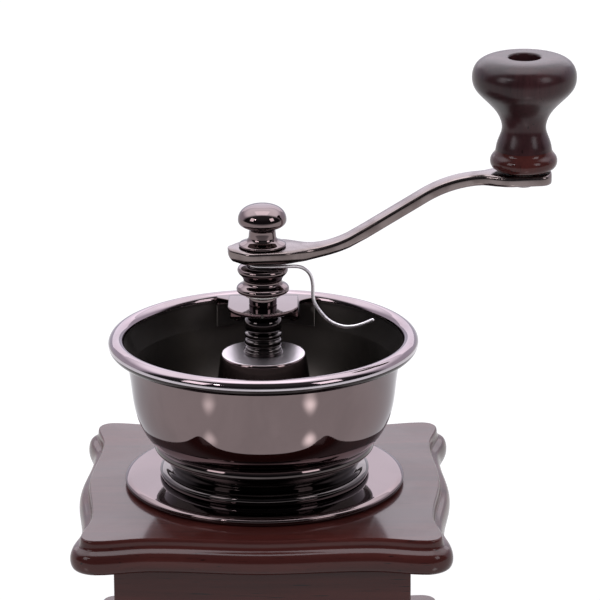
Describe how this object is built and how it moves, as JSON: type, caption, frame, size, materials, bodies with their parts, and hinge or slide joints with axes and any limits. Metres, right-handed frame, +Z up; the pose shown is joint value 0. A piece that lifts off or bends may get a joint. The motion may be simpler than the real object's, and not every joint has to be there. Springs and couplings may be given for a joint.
{
  "type": "manual coffee grinder",
  "caption": "Hand cranked box coffee grinder: moulded wooden box with a drawer, open metal hopper, cone burr on an adjustable spindle, S-shaped crank with a wooden knob.",
  "frame": {"origin": "centre of the underside of the felt sole, on the axis of the spindle", "axes": "+Z up along the spindle, the drawer opens towards -Y, the crank at rest points towards +X and 7 degrees to the back"},
  "size_m": [0.1933, 0.145, 0.2569],
  "materials": {
    "dark_wood": "dark mahogany stain under semi-gloss lacquer",
    "pale_wood": "plain oiled beech",
    "gunmetal": "polished black nickel",
    "steel": "bright turned steel",
    "burr_iron": "hardened cast iron, dry",
    "felt": "pressed dark felt"
  },
  "bodies": {
    "housing": {"felt_sole": "felt", "base_board": "dark_wood", "left_wall": "dark_wood", "right_wall": "dark_wood", "back_wall": "dark_wood", "front_rail": "dark_wood", "top_board": "dark_wood", "base_screw_1": "steel", "base_screw_2": "steel", "base_screw_3": "steel", "base_screw_4": "steel", "hopper_foot": "gunmetal", "hopper_bowl": "gunmetal", "bearing_dome": "gunmetal", "bearing_sleeve": "gunmetal", "top_bracket": "gunmetal", "bracket_rivet_left": "gunmetal", "bracket_rivet_right": "gunmetal", "top_bush": "gunmetal", "burr_carrier": "burr_iron", "burr_ring": "burr_iron", "spring_washer": "steel", "hopper_screw_1": "steel", "hopper_screw_2": "steel", "hopper_screw_3": "steel", "hopper_screw_4": "steel", "hopper_nut_1": "steel", "hopper_nut_2": "steel", "hopper_nut_3": "steel", "hopper_nut_4": "steel"},
    "drawer": {"drawer_front": "dark_wood", "drawer_side_left": "pale_wood", "drawer_side_right": "pale_wood", "drawer_back": "pale_wood", "drawer_bottom": "pale_wood", "drawer_knob": "gunmetal", "drawer_knob_screw": "steel"},
    "crank": {"crank_arm": "gunmetal", "cap_nut": "gunmetal", "knob_pin": "gunmetal", "knob_washer": "steel", "stirrer_wire": "gunmetal", "thrust_washer": "steel"},
    "adjuster": {"adjusting_nut": "gunmetal"},
    "spindle": {"shaft": "steel", "burr_cone": "burr_iron", "burr_washer": "steel", "burr_nut": "steel", "burr_spring": "steel"},
    "knob": {"crank_knob": "dark_wood"}
  },
  "joints": [
    {"name": "crank_turn", "type": "hinge", "parent": "housing", "child": "crank", "pos_m": [0, 0, 0.18], "axis": [0, 0, 1], "continuous": true},
    {"name": "grind_adjust", "type": "hinge", "parent": "crank", "child": "adjuster", "pos_m": [0, 0, 0.1724], "axis": [0, 0, 1], "range_deg": [-360, 180]},
    {"name": "burr_lift", "type": "slide", "parent": "crank", "child": "spindle", "axis": [0, 0, 1], "range_m": [-0.0015, 0.00075], "deforming": ["burr_spring"]},
    {"name": "knob_spin", "type": "hinge", "parent": "crank", "child": "knob", "pos_m": [0.10068, 0.0129, 0.23], "axis": [0, 0, 1], "continuous": true},
    {"name": "drawer_slide", "type": "slide", "parent": "housing", "child": "drawer", "axis": [0, -1, 0], "range_m": [0, 0.08]}
  ],
  "couplings": [
    {"joint": "grind_adjust", "follows": "burr_lift", "rad_per_m": 4188.8}
  ]
}
